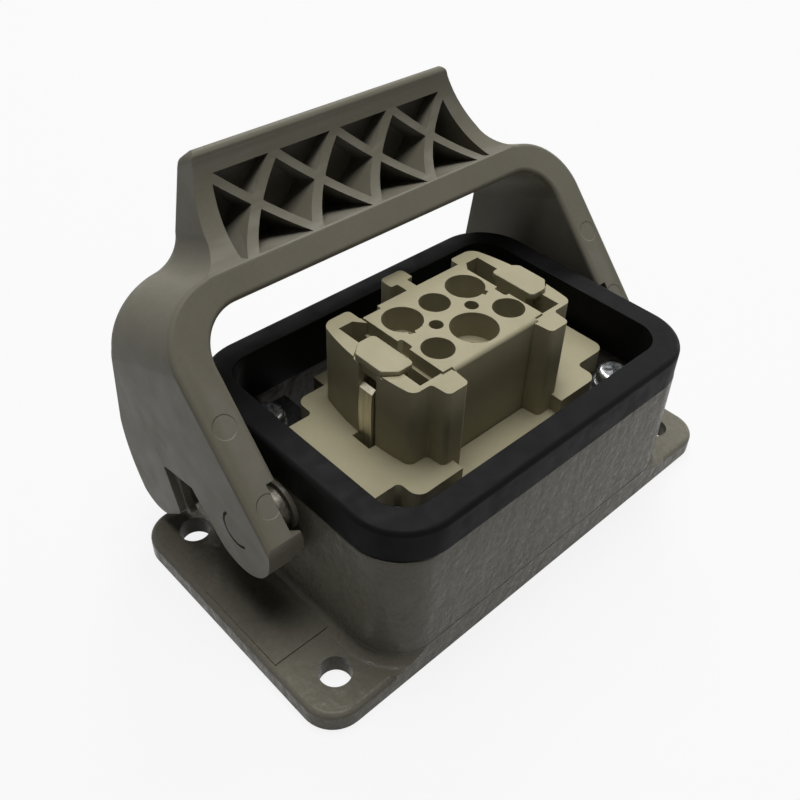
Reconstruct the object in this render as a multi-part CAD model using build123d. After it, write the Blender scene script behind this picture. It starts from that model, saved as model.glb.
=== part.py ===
from build123d import *
import math
import os

os.makedirs("parts", exist_ok=True)

# Seal that caps the rim; its opening sets out the cast housing and the insert
SEAL_INNER_LENGTH = 52.7
SEAL_INNER_WIDTH = 36.0
SEAL_INNER_CORNER = 4.4
SEAL_INNER_SKIRT = 1.2
RIM_THICKNESS = 1.7
SEAL_OUTER_SKIRT = 1.2
SEAL_TOP = 27.7
SEAL_CAP = 1.6
SEAL_SKIRT_BOTTOM = 19.6
SEAL_EDGE_ROUND = 0.8
SEAL_FOOT_ROUND = 0.3

# Cast walls below the seal
WALL_END_MARGIN = 0.05
WALL_SIDE_SETBACK = 0.25
WALL_CORNER = 7.0
WALL_DRAFT = 0.5
WALL_HEIGHT = 22.5
WALL_TOP_ROUND = 0.4
FOOT_ROUND = 1.6

# Fixing flange of the cast housing
EAR_LENGTH = 10.5
FLANGE_THICKNESS = 3.1
FLANGE_CORNER = 4.8
FLANGE_EDGE_ROUND = 0.8
HOLE_INSET_X = 6.0
HOLE_INSET_Y = 5.85
HOLE_RADIUS = 2.25
PAD_LOW_Y = -10.2
PAD_HIGH_Y = 5.4
PAD_RISE = 0.25

# Flat seal let into the mounting face
PANEL_SEAL_WIDTH = 1.3
PANEL_SEAL_HEIGHT = 1.4
PANEL_SEAL_INSET = 0.65

# Insert screws and the cast posts that take them
SCREW_INSET_X = 3.5
SCREW_INSET_Y = 4.2
SCREW_RADIUS = 1.5
SCREW_CLEAR = 0.15
SCREW_HEAD_RADIUS = 2.45
SCREW_HEAD_HEIGHT = 2.2
SCREW_HEAD_ROUND = 0.7
SCREW_DEPTH = 7.0
WASHER_RADIUS = 2.7
WASHER_THICKNESS = 1.0
WASHER_SPLIT = 0.7
POST_REACH = 3.7
POST_BOTTOM = 5.0
POST_ROUND = 2.0

# Steel plates under the ends of the insert
EARTH_PLATE_INNER = 16.3
EARTH_PLATE_MARGIN = 0.45
EARTH_PLATE_THICKNESS = 1.6
EARTH_PLATE_CORNER = 3.0
EARTH_PLATE_GAP = 0.1

# Moulded insert
INSERT_SEAT = 16.0
INSERT_MARGIN = 1.35
INSERT_SIDE_MARGIN = 1.0
INSERT_FLANGE_THICKNESS = 2.6
PLATEAU_RISE = 2.8
PLATEAU_Y = -0.55
PLATEAU_WIDTH = 25.0
PLATEAU_NECK_DEPTH = 3.65
PLATEAU_SHOULDER = 18.4
PLATEAU_INNER = 10.2
PLATEAU_ROUND = 1.7
PLATEAU_HOLLOW_ROUND = 0.8
SCREW_CLEARING = 3.8
TOWER_LENGTH = 32.1
TOWER_FRONT = 8.25
TOWER_BACK = 7.55
TOWER_TOP = 34.2
TOWER_CORNER = 1.3
END_FRONT_BOW = 0.75
END_BACK_BOW = 1.65
END_CREST_Y = -0.8
FRAME_STEP = 0.3
FRONT_RIB_PLACES = (-10.2, 9.5)
FRONT_RIB_ROOT = 4.2
FRONT_RIB_TIP = 3.6
FRONT_RIB_REACH = 11.15
FRONT_RIB_ROUND = 0.8
FRONT_RIB_HOLLOW = 0.6
BACK_RIB_INNER = 9.9
BACK_RIB_REACH = 10.4
BACK_RIB_CORNER = 2.0
BACK_RIB_ROUND = 0.7
KEY_X = 0.2
KEY_STEM_WIDTH = 1.9
KEY_HEAD_WIDTH = 4.2
KEY_HEAD_START = 10.4
KEY_REACH = 12.9
KEY_ROUND = 0.8
KEY_NECK_ROUND = 0.3
CARRIER_GAP = 0.1
CARRIER_FRONT = 8.3
CARRIER_BACK = 8.4
CARRIER_HALF = 9.7
CARRIER_STEP_X = 8.1
CARRIER_STEP_Y = 7.7
CARRIER_EDGE_ROUND = 0.6
BACK_STEP_X = -6.4
BACK_STEP_Y = 7.6
LEDGE_X = 10.2
LEDGE_TOP = 32.0
REAR_LENGTH = 29.4
REAR_WIDTH = 18.6
REAR_DEPTH = 6.0

# Contact cavities of the insert
CAVITY_CENTRE_X = 0.2
CAVITY_PITCH_BACK = 6.1
CAVITY_PITCH_FRONT = 6.9
CAVITY_ROW_Y = 3.8
MOUTH_DEPTH = 4.0
MOUTH_RADII_BACK = (2.9, 2.25, 2.9)
MOUTH_RADII_FRONT = (2.3, 3.4, 2.3)
MOUTH_NOTCH_WIDTH = 1.0
MOUTH_NOTCH_DEPTH = 0.45
MOUTH_NOTCH_TURN = 20.0
SIGNAL_SPACING = 6.9
SIGNAL_RADIUS = 1.0

# Socket contacts
SOCKET_RADIUS = 1.85
SOCKET_BORE = 1.25
SOCKET_BORE_DEPTH = 10.0
SOCKET_SETBACK = 0.6
SOCKET_FIT = 0.05
CRIMP_RADIUS = 1.6
CRIMP_BORE = 1.1
CRIMP_DEPTH = 4.5
CRIMP_LENGTH = 6.0
COLLAR_RADIUS = 2.3
COLLAR_LENGTH = 1.2
SIGNAL_PIN_RADIUS = 0.8
SIGNAL_PIN_BORE = 0.5
SIGNAL_SETBACK = 4.0

# Plate that holds the contacts in from behind
RETAINER_LENGTH = 28.0
RETAINER_WIDTH = 17.0
RETAINER_THICKNESS = 2.2
RETAINER_CORNER = 2.0
RETAINER_HOLE_GAP = 0.2

# Earth strip, its slot at each end of the insert, and its clip
SLOT_OUTER_X = 13.5
SLOT_FRONT = 7.5
SLOT_BACK = 8.15
SLOT_CUT_X = 11.1
SLOT_CUT_Y = 6.6
SLOT_FLOOR = 22.5
BLOCK_NOTCH_Y = -0.4
BLOCK_NOTCH_WIDTH = 2.2
BLOCK_NOTCH_DEPTH = 0.7
BLOCK_NOTCH_ROUND = 0.4
GROOVE_Y = -0.45
GROOVE_WIDTH = 3.5
GROOVE_DEPTH = 0.75
GROOVE_MOUTH = 1.05
WINDOW_LOW = 29.2
WINDOW_HIGH = 31.7
LINTEL_TOP = 32.9
STRIP_WIDTH = 2.5
STRIP_THICKNESS = 0.5
STRIP_BOW = 0.15
STRIP_TOP = 29.9
STRIP_BEND = 0.5
STRIP_HOOK = 0.6
STRIP_TAIL_LENGTH = 7.4
STRIP_TAIL_WIDTH = 8.0
STRIP_GAP = 0.15
CLIP_TOP = 34.6
CLIP_THICKNESS = 1.1
CLIP_SETBACK = 0.1
CLIP_INNER_X = 11.4
CLIP_Y = -0.4
CLIP_LENGTH = 7.9
CLIP_NOSE_LENGTH = 4.9
CLIP_SHOULDER_X = 14.2
CLIP_ROUND = 0.8
CLIP_GAP = 0.1
EARTH_SCREW_RADIUS = 1.5
EARTH_HEAD_RADIUS = 2.8
EARTH_HEAD_HEIGHT = 1.8
EARTH_SLOT_WIDTH = 0.8
EARTH_SLOT_DEPTH = 0.9
CLAMP_SIDE = 6.2
CLAMP_THICKNESS = 0.9

# Lever hinge
PIVOT_HEIGHT = 18.7
LEVER_LEAN = 42.08
PIN_RADIUS = 2.0
PIN_FIT = 0.05
PIN_COLLAR_RADIUS = 2.9
PIN_COLLAR_LENGTH = 1.5
PIN_BOSS_RADIUS = 3.6
PIN_BOSS_RISE = 0.5
PIN_TAIL = 3.0
PIN_END_COVER = 1.15
PIN_END_GAP = 0.3

# Locking lever, in its own frame: pivot at the origin, front face towards -Y, grip up
ARM_GAP = 1.2
ARM_THICKNESS = 5.35
LEVER_FRONT = -6.15
LEVER_DRAW_ANGLE = 20.0
LEVER_EDGE_ROUND = 0.7
TIP_RADIUS = 6.95
TIP_BACK = 6.7
BAR_LOW = 25.3
BAR_HIGH = 29.4
BAR_CORNER = 6.3
GRIP_TOP = 44.8
GRIP_TAPER = 2.3
GRIP_CORNER = 2.2
SHOULDER_START = 19.6
SHOULDER_REACH = 8.75
WAIST_RISE = 4.5
WAIST_REACH = 4.0
WAIST_HOLLOW = 1.0
GRIP_HOLLOW = 2.6
GRIP_WALL = 1.8
GRIP_BACK_LOW_Y = 10.2
GRIP_BACK_DROP = 1.9
GRIP_BACK_HIGH_Y = -0.8
GRIP_EDGE_DROP = 1.1
GRIP_LIP = 4.1
GRIP_SIDE_WALL = 2.15
POCKET_RISE = 0.2
TRUSS_BAYS = 4
TRUSS_MARGIN = 0.5
TRUSS_RIB = 1.3
TRUSS_NODE = 2.0
RECESS_DEPTH = 1.5
RECESS_LOW = -3.2
RECESS_HIGH = 4.0
RECESS_ROUND = 3.3
TIP_NOTCH = 1.0
CAM_RIB_INSET = 1.0
CAM_RIB_THICKNESS = 1.1
CAP_RADIUS = 2.3
CAP_GROOVE = 0.45
CAP_GROOVE_DEPTH = 0.8

# Worked out from the values above
SEAL_BAND = SEAL_INNER_SKIRT + RIM_THICKNESS + SEAL_OUTER_SKIRT
SEAL_OUTER_LENGTH = SEAL_INNER_LENGTH + 2 * SEAL_BAND
SEAL_OUTER_WIDTH = SEAL_INNER_WIDTH + 2 * SEAL_BAND
CAVITY_LENGTH = SEAL_INNER_LENGTH + 2 * SEAL_INNER_SKIRT
CAVITY_WIDTH = SEAL_INNER_WIDTH + 2 * SEAL_INNER_SKIRT
CAVITY_CORNER = SEAL_INNER_CORNER + SEAL_INNER_SKIRT
RIM_TOP = SEAL_TOP - SEAL_CAP
WALL_LENGTH = SEAL_OUTER_LENGTH + 2 * WALL_END_MARGIN
FLANGE_LENGTH = WALL_LENGTH + 2 * EAR_LENGTH
FLANGE_WIDTH = SEAL_OUTER_WIDTH - 2 * WALL_SIDE_SETBACK
HOLE_SPACING_X = FLANGE_LENGTH - 2 * HOLE_INSET_X
HOLE_SPACING_Y = FLANGE_WIDTH - 2 * HOLE_INSET_Y
INSERT_LENGTH = SEAL_INNER_LENGTH - 2 * INSERT_MARGIN
INSERT_WIDTH = SEAL_INNER_WIDTH - 2 * INSERT_SIDE_MARGIN
EARTH_PLATE_OUTER = SEAL_INNER_LENGTH / 2 - EARTH_PLATE_MARGIN
EARTH_PLATE_HALF_WIDTH = SEAL_INNER_WIDTH / 2 - EARTH_PLATE_MARGIN
SCREW_SPACING_X = 2 * (EARTH_PLATE_OUTER - SCREW_INSET_X)
SCREW_SPACING_Y = 2 * (EARTH_PLATE_HALF_WIDTH - SCREW_INSET_Y)
EARTH_PLATE_TOP = INSERT_SEAT + EARTH_PLATE_THICKNESS
SCREW_HEAD_LOW = EARTH_PLATE_TOP + WASHER_THICKNESS
INSERT_FLANGE_TOP = INSERT_SEAT + INSERT_FLANGE_THICKNESS
PLATEAU_TOP = INSERT_FLANGE_TOP + PLATEAU_RISE
FRAME_TOP = TOWER_TOP - FRAME_STEP
REAR_BOTTOM = INSERT_SEAT - REAR_DEPTH
MOUTH_FLOOR = TOWER_TOP - MOUTH_DEPTH
CLIP_OUTER_X = TOWER_LENGTH / 2 - CLIP_SETBACK
STRIP_X = TOWER_LENGTH / 2 - STRIP_BOW - STRIP_THICKNESS / 2
STRIP_TAIL_Z = INSERT_SEAT - STRIP_THICKNESS / 2
PIN_BOSS_REACH = WALL_LENGTH / 2 + PIN_BOSS_RISE
ARM_INNER = PIN_BOSS_REACH + ARM_GAP
LEVER_HALF_WIDTH = ARM_INNER + ARM_THICKNESS
PIN_REACH = LEVER_HALF_WIDTH - PIN_END_COVER
GRIP_BACK_LOW = (GRIP_BACK_LOW_Y, BAR_HIGH - GRIP_BACK_DROP)
GRIP_BACK_HIGH = (GRIP_BACK_HIGH_Y, GRIP_TOP - GRIP_EDGE_DROP)
GRIP_LOW_HALF_WIDTH = LEVER_HALF_WIDTH - SHOULDER_REACH - WAIST_REACH
GRIP_TOP_HALF_WIDTH = GRIP_LOW_HALF_WIDTH - GRIP_TAPER
POCKET_LOW = BAR_HIGH + POCKET_RISE
POCKET_HIGH = GRIP_TOP - GRIP_LIP
POCKET_LOW_HALF_WIDTH = GRIP_LOW_HALF_WIDTH - GRIP_SIDE_WALL
POCKET_TOP_HALF_WIDTH = GRIP_TOP_HALF_WIDTH - GRIP_SIDE_WALL
TRUSS_PITCH = (POCKET_LOW_HALF_WIDTH + POCKET_TOP_HALF_WIDTH - 2 * TRUSS_MARGIN) / TRUSS_BAYS
ENDS = (("left", -1), ("right", 1))


def plate(length, width, low, high, corner):
    """Upright block on the Z axis with rounded vertical edges."""
    outline = RectangleRounded(length, width, corner)
    return Pos(0, 0, low) * extrude(outline, high - low)


def block(x_low, x_high, y_low, y_high, z_low, z_high):
    """Plain box given by its limits."""
    centre = Pos((x_low + x_high) / 2, (y_low + y_high) / 2, (z_low + z_high) / 2)
    return centre * Box(x_high - x_low, y_high - y_low, z_high - z_low)


def rod(radius, low, high, x=0, y=0):
    """Upright cylinder between two heights."""
    return Pos(x, y, (low + high) / 2) * Cylinder(radius, high - low)


def corners(spacing_x, spacing_y):
    """The four corners of a rectangle centred on the origin."""
    return [(sx * spacing_x / 2, sy * spacing_y / 2) for sx in (-1, 1) for sy in (-1, 1)]


def cavities():
    """Place and mouth radius of each main contact cavity."""
    places = []
    for column in range(3):
        back_x = CAVITY_CENTRE_X + (column - 1) * CAVITY_PITCH_BACK
        front_x = CAVITY_CENTRE_X + (column - 1) * CAVITY_PITCH_FRONT
        places.append((back_x, CAVITY_ROW_Y, MOUTH_RADII_BACK[column]))
        places.append((front_x, -CAVITY_ROW_Y, MOUTH_RADII_FRONT[column]))
    return places


def signal_places():
    """Place of each small contact."""
    return [(CAVITY_CENTRE_X + side * SIGNAL_SPACING / 2, 0) for side in (-1, 1)]


def at_end(shape, side):
    """A shape drawn for the -X end, mirrored for the +X end."""
    return shape if side < 0 else mirror(shape, about=Plane.YZ)


def make_posts():
    """Four cast posts in the corners of the cavity, which carry the insert."""
    posts = []
    mid_wall = plate(CAVITY_LENGTH + RIM_THICKNESS, CAVITY_WIDTH + RIM_THICKNESS, POST_BOTTOM, INSERT_SEAT,
                     CAVITY_CORNER + RIM_THICKNESS / 2)
    for x, y in corners(SCREW_SPACING_X, SCREW_SPACING_Y):
        inner_x = abs(x) - POST_REACH
        inner_y = abs(y) - POST_REACH
        outer_x = CAVITY_LENGTH / 2 + RIM_THICKNESS / 2
        outer_y = CAVITY_WIDTH / 2 + RIM_THICKNESS / 2
        post = block(inner_x, outer_x, inner_y, outer_y, POST_BOTTOM, INSERT_SEAT)
        inner_edge = post.edges().filter_by(Axis.Z).sort_by_distance((0, 0, INSERT_SEAT))[0]
        post = fillet(inner_edge, POST_ROUND)
        if x < 0:
            post = mirror(post, about=Plane.YZ)
        if y < 0:
            post = mirror(post, about=Plane.XZ)
        post -= rod(SCREW_RADIUS, INSERT_SEAT - SCREW_DEPTH, INSERT_SEAT + 1, x, y)
        posts.append(post & mid_wall)
    return posts


def make_housing():
    """Die-cast bulkhead housing: flange, walls, rim, posts and hinge bosses."""
    flange = plate(FLANGE_LENGTH, FLANGE_WIDTH, 0, FLANGE_THICKNESS, FLANGE_CORNER)
    flange = fillet(flange.faces().sort_by(Axis.Z)[-1].edges(), FLANGE_EDGE_ROUND)
    pad_length = (FLANGE_LENGTH - WALL_LENGTH) / 2
    for side in (-1, 1):
        pad_x = side * (FLANGE_LENGTH - pad_length - 2 * FLANGE_EDGE_ROUND) / 2
        pad = Box(pad_length, PAD_HIGH_Y - PAD_LOW_Y, PAD_RISE)
        flange += Pos(pad_x, (PAD_HIGH_Y + PAD_LOW_Y) / 2, FLANGE_THICKNESS + PAD_RISE / 2) * pad
    walls = extrude(RectangleRounded(WALL_LENGTH, FLANGE_WIDTH, WALL_CORNER), WALL_HEIGHT, taper=WALL_DRAFT)
    walls = fillet(walls.faces().sort_by(Axis.Z)[-1].edges(), WALL_TOP_ROUND)
    for side in (-1, 1):
        boss_start = CAVITY_LENGTH / 2
        boss = Cylinder(PIN_BOSS_RADIUS, PIN_BOSS_REACH - boss_start, rotation=(0, 90, 0))
        walls += Pos(side * (boss_start + PIN_BOSS_REACH) / 2, 0, PIVOT_HEIGHT) * boss
    rim_length = CAVITY_LENGTH + 2 * RIM_THICKNESS
    rim_width = CAVITY_WIDTH + 2 * RIM_THICKNESS
    rim = plate(rim_length, rim_width, WALL_HEIGHT - 1, RIM_TOP, CAVITY_CORNER + RIM_THICKNESS)
    body = flange + walls + rim + wall_foot()
    body -= plate(CAVITY_LENGTH, CAVITY_WIDTH, -1, RIM_TOP + 1, CAVITY_CORNER)
    for post in make_posts():
        body += post
    groove_length = CAVITY_LENGTH + 2 * PANEL_SEAL_INSET
    groove_width = CAVITY_WIDTH + 2 * PANEL_SEAL_INSET
    body -= seal_ring(groove_length, groove_width, CAVITY_CORNER + PANEL_SEAL_INSET)
    for x, y in corners(HOLE_SPACING_X, HOLE_SPACING_Y):
        body -= rod(HOLE_RADIUS, -1, FLANGE_THICKNESS + 1, x, y)
    pin_hole = Cylinder(PIN_RADIUS, 2 * PIN_BOSS_REACH + 2, rotation=(0, 90, 0))
    body -= Pos(0, 0, PIVOT_HEIGHT) * pin_hole
    return body


def wall_foot():
    """Hollow rounding where the walls stand on the flange, flush with its long sides."""
    base_length = WALL_LENGTH + 2 * FOOT_ROUND + 1
    base_width = FLANGE_WIDTH + 2 * FOOT_ROUND + 1
    low = FLANGE_THICKNESS / 2
    foot = plate(base_length, base_width, low, FLANGE_THICKNESS, WALL_CORNER + FOOT_ROUND)
    foot += plate(WALL_LENGTH, FLANGE_WIDTH, low, 2 * FLANGE_THICKNESS + FOOT_ROUND, WALL_CORNER)
    hollow = [edge for edge in foot.edges() if is_foot_edge(edge)]
    foot = fillet(hollow, FOOT_ROUND)
    flare_length = WALL_LENGTH + 2 * FOOT_ROUND
    keep = plate(flare_length, FLANGE_WIDTH, low, FLANGE_THICKNESS + FOOT_ROUND, FOOT_ROUND)
    return foot & keep


def is_foot_edge(edge):
    """True for the edges where the wall meets the flange's top."""
    box = edge.bounding_box()
    at_top = box.min.Z > FLANGE_THICKNESS - 0.01 and box.max.Z < FLANGE_THICKNESS + 0.01
    within_x = max(box.max.X, -box.min.X) < WALL_LENGTH / 2 + 0.1
    within_y = max(box.max.Y, -box.min.Y) < FLANGE_WIDTH / 2 + 0.1
    return at_top and within_x and within_y


def seal_ring(length, width, corner):
    """Closed ring of the panel seal's section, on the mounting face."""
    outer = plate(length + 2 * PANEL_SEAL_WIDTH, width + 2 * PANEL_SEAL_WIDTH, 0, PANEL_SEAL_HEIGHT,
                  corner + PANEL_SEAL_WIDTH)
    return outer - plate(length, width, 0, PANEL_SEAL_HEIGHT, corner)


def make_panel_seal():
    """Flat seal in the groove of the mounting face."""
    length = CAVITY_LENGTH + 2 * PANEL_SEAL_INSET
    width = CAVITY_WIDTH + 2 * PANEL_SEAL_INSET
    return seal_ring(length, width, CAVITY_CORNER + PANEL_SEAL_INSET)


def make_rim_gasket():
    """Rubber cap over the rim, with an outer and an inner skirt."""
    cap = plate(SEAL_OUTER_LENGTH, SEAL_OUTER_WIDTH, WALL_HEIGHT, SEAL_TOP, SEAL_INNER_CORNER + SEAL_BAND)
    cap = fillet(cap.faces().sort_by(Axis.Z)[-1].edges(), SEAL_EDGE_ROUND)
    cap = fillet(cap.faces().sort_by(Axis.Z)[0].edges(), SEAL_FOOT_ROUND)
    cap += plate(CAVITY_LENGTH, CAVITY_WIDTH, SEAL_SKIRT_BOTTOM, SEAL_TOP - SEAL_CAP, CAVITY_CORNER)
    cap -= plate(SEAL_INNER_LENGTH, SEAL_INNER_WIDTH, 0, SEAL_TOP + 1, SEAL_INNER_CORNER)
    rim_length = CAVITY_LENGTH + 2 * RIM_THICKNESS
    rim_width = CAVITY_WIDTH + 2 * RIM_THICKNESS
    rim = plate(rim_length, rim_width, WALL_HEIGHT, RIM_TOP, CAVITY_CORNER + RIM_THICKNESS)
    rim -= plate(CAVITY_LENGTH, CAVITY_WIDTH, WALL_HEIGHT, RIM_TOP, CAVITY_CORNER)
    return cap - rim


def plateau_outline():
    """Raised end of the insert at -X, waisted beside the screws."""
    outer = -INSERT_LENGTH / 2
    back = PLATEAU_Y + PLATEAU_WIDTH / 2
    front = PLATEAU_Y - PLATEAU_WIDTH / 2
    neck_back = back - PLATEAU_NECK_DEPTH
    neck_front = front + PLATEAU_NECK_DEPTH
    points = [(outer, neck_front), (-PLATEAU_SHOULDER, neck_front), (-PLATEAU_SHOULDER, front),
              (-PLATEAU_INNER, front), (-PLATEAU_INNER, back), (-PLATEAU_SHOULDER, back),
              (-PLATEAU_SHOULDER, neck_back), (outer, neck_back)]
    outline = make_face(Polyline(*points, close=True))
    outline = round_corners(outline, [points[0], points[2], points[5], points[7]], PLATEAU_ROUND)
    outline = round_corners(outline, [points[1], points[6]], PLATEAU_HOLLOW_ROUND)
    for side in (-1, 1):
        outline -= Pos(-SCREW_SPACING_X / 2, side * SCREW_SPACING_Y / 2) * Circle(SCREW_CLEARING)
    return outline


def round_corners(outline, places, radius):
    """Round the corners of a flat outline that lie at the given places."""
    chosen = [v for v in outline.vertices() if min(math.hypot(v.X - x, v.Y - y) for x, y in places) < 0.01]
    return fillet(chosen, radius)


def tower_outline():
    """Section of the raised part of the insert: bowed ends, back ribs and front guide ribs."""
    crest = TOWER_LENGTH / 2
    front_x = crest - END_FRONT_BOW
    back_x = crest - END_BACK_BOW
    front = -TOWER_FRONT
    back = [(back_x, BACK_RIB_REACH), (BACK_RIB_INNER, BACK_RIB_REACH), (BACK_RIB_INNER, TOWER_BACK),
            (-BACK_RIB_INNER, TOWER_BACK), (-BACK_RIB_INNER, BACK_RIB_REACH), (-back_x, BACK_RIB_REACH)]
    edges = Polyline(*back).edges()
    edges.append(Line((-front_x, front), (front_x, front)))
    edges.append(ThreePointArc((front_x, front), (crest, END_CREST_Y), back[0]))
    edges.append(ThreePointArc(back[-1], (-crest, END_CREST_Y), (-front_x, front)))
    outline = make_face(Wire(edges))
    tips = []
    roots = []
    for rib_x in FRONT_RIB_PLACES:
        root = [(rib_x - FRONT_RIB_ROOT / 2, front), (rib_x + FRONT_RIB_ROOT / 2, front)]
        tip = [(rib_x + FRONT_RIB_TIP / 2, -FRONT_RIB_REACH), (rib_x - FRONT_RIB_TIP / 2, -FRONT_RIB_REACH)]
        inside = [(rib_x - FRONT_RIB_ROOT / 2, front + 1), (rib_x + FRONT_RIB_ROOT / 2, front + 1)]
        outline += make_face(Polyline(inside[0], inside[1], root[1], tip[0], tip[1], root[0], close=True))
        roots += root
        tips += tip
    outline = round_corners(outline, tips, FRONT_RIB_ROUND)
    outline = round_corners(outline, roots, FRONT_RIB_HOLLOW)
    outline = round_corners(outline, [(-front_x, front), (front_x, front)], TOWER_CORNER)
    back_corners = [(-back_x, BACK_RIB_REACH), (back_x, BACK_RIB_REACH)]
    outline = round_corners(outline, back_corners, BACK_RIB_CORNER)
    inner_corners = [(side * BACK_RIB_INNER, y) for side in (-1, 1) for y in (BACK_RIB_REACH, TOWER_BACK)]
    return round_corners(outline, inner_corners, BACK_RIB_ROUND)


def slot_outline():
    """Section of the slot at the -X end, with its cut-off back corner."""
    inner = -CARRIER_HALF
    points = [(-SLOT_OUTER_X, -SLOT_FRONT), (inner, -SLOT_FRONT), (inner, SLOT_CUT_Y),
              (inner - CARRIER_GAP, SLOT_CUT_Y), (-SLOT_CUT_X, SLOT_BACK), (-SLOT_OUTER_X, SLOT_BACK)]
    return make_face(Polyline(*points, close=True))


def end_cuts():
    """Slot, strip groove, window and clip seat at the -X end of the insert."""
    end_x = -TOWER_LENGTH / 2
    cuts = Pos(0, 0, SLOT_FLOOR) * extrude(slot_outline(), TOWER_TOP)
    low = GROOVE_Y - GROOVE_WIDTH / 2
    high = GROOVE_Y + GROOVE_WIDTH / 2
    cuts += block(end_x - GROOVE_MOUTH, end_x + GROOVE_DEPTH, low, high, 0, TOWER_TOP)
    window = STRIP_WIDTH / 2 + STRIP_GAP
    inside = -SLOT_OUTER_X + 0.1
    cuts += block(end_x + STRIP_BOW, inside, -window, high, WINDOW_LOW, WINDOW_HIGH)
    cuts += block(end_x + STRIP_BOW, inside, low, high, LINTEL_TOP, TOWER_TOP)
    seat = clip_plate(CLIP_GAP)
    return cuts + Pos(0, 0, CLIP_THICKNESS / 2) * seat + seat


def clip_plate(margin):
    """Top plate of the clip at the -X end, grown by a margin for its seat."""
    shoulder = CLIP_LENGTH / 2 + margin
    nose = CLIP_NOSE_LENGTH / 2 + margin
    low_x = -CLIP_OUTER_X - 3 * margin
    high_x = -CLIP_INNER_X + margin
    points = [(low_x, CLIP_Y - nose), (-CLIP_SHOULDER_X, CLIP_Y - shoulder), (high_x, CLIP_Y - shoulder),
              (high_x, CLIP_Y + shoulder), (-CLIP_SHOULDER_X, CLIP_Y + shoulder), (low_x, CLIP_Y + nose)]
    outline = make_face(Polyline(*points, close=True))
    outline = fillet(outline.vertices(), CLIP_ROUND)
    return Pos(0, 0, CLIP_TOP - CLIP_THICKNESS) * extrude(outline, CLIP_THICKNESS)


def carrier_ledges(margin, low, high):
    """Ledges along the carrier's ends, down in the slots, grown by a margin."""
    ledges = None
    for side in (-1, 1):
        ledge = block(-LEDGE_X - margin, -CARRIER_HALF + 0.5, -SLOT_FRONT + CARRIER_GAP - margin,
                      SLOT_CUT_Y + margin, low, high)
        ledge = at_end(ledge, side)
        ledges = ledge if ledges is None else ledges + ledge
    return ledges


def make_insert_body():
    """Moulded frame of the insert: middle flange, raised ends and end walls with ribs."""
    body = block(-PLATEAU_INNER - 1, PLATEAU_INNER + 1, -INSERT_WIDTH / 2, INSERT_WIDTH / 2, INSERT_SEAT,
                 INSERT_FLANGE_TOP)
    raised = Pos(0, 0, INSERT_SEAT) * extrude(plateau_outline(), PLATEAU_TOP - INSERT_SEAT)
    over_plate = block(-INSERT_LENGTH, -EARTH_PLATE_INNER + EARTH_PLATE_GAP, -INSERT_WIDTH, INSERT_WIDTH,
                       INSERT_SEAT - 1, EARTH_PLATE_TOP)
    raised -= over_plate
    body += raised + mirror(raised, about=Plane.YZ)
    body += Pos(0, 0, INSERT_SEAT) * extrude(tower_outline(), FRAME_TOP - INSERT_SEAT)
    window = Pos(0, 0, INSERT_SEAT - 1) * extrude(carrier_outline(CARRIER_GAP), TOWER_TOP)
    body -= window
    body -= carrier_ledges(CARRIER_GAP, INSERT_SEAT - 1, LEDGE_TOP)
    for side in (-1, 1):
        body -= at_end(end_cuts(), side)
    return body


def make_earth_plate(side):
    """Steel plate under one end of the insert, on two posts, tapped for the earth screw."""
    half = EARTH_PLATE_HALF_WIDTH
    body = block(-EARTH_PLATE_OUTER, -EARTH_PLATE_INNER, -half, half, INSERT_SEAT, EARTH_PLATE_TOP)
    body = fillet(body.edges().filter_by(Axis.Z).group_by(Axis.X)[0], EARTH_PLATE_CORNER)
    for x, y in corners(SCREW_SPACING_X, SCREW_SPACING_Y):
        body -= rod(SCREW_RADIUS + SCREW_CLEAR, 0, TOWER_TOP, x, y)
    body -= rod(EARTH_SCREW_RADIUS, 0, TOWER_TOP, earth_x(), 0)
    return at_end(body, side)


def carrier_outline(margin):
    """Section of the contact carrier, grown by a margin for its window."""
    low = -CARRIER_FRONT - margin
    high = CARRIER_BACK + margin
    edge = CARRIER_HALF + margin
    step_x = CARRIER_STEP_X + margin
    step_y = -CARRIER_STEP_Y - margin
    head_low = KEY_HEAD_START - margin
    stem = KEY_STEM_WIDTH / 2 + margin
    head = KEY_HEAD_WIDTH / 2 + margin
    reach = KEY_REACH + margin
    points = [(-step_x, low), (step_x, low), (step_x, step_y), (edge, step_y), (edge, high),
              (KEY_X + stem, high), (KEY_X + stem, head_low), (KEY_X + head, head_low),
              (KEY_X + head, reach), (KEY_X - head, reach), (KEY_X - head, head_low),
              (KEY_X - stem, head_low), (KEY_X - stem, high), (BACK_STEP_X, high),
              (BACK_STEP_X, BACK_STEP_Y + margin), (-edge, BACK_STEP_Y + margin), (-edge, step_y),
              (-step_x, step_y)]
    return make_face(Polyline(*points, close=True))


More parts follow.
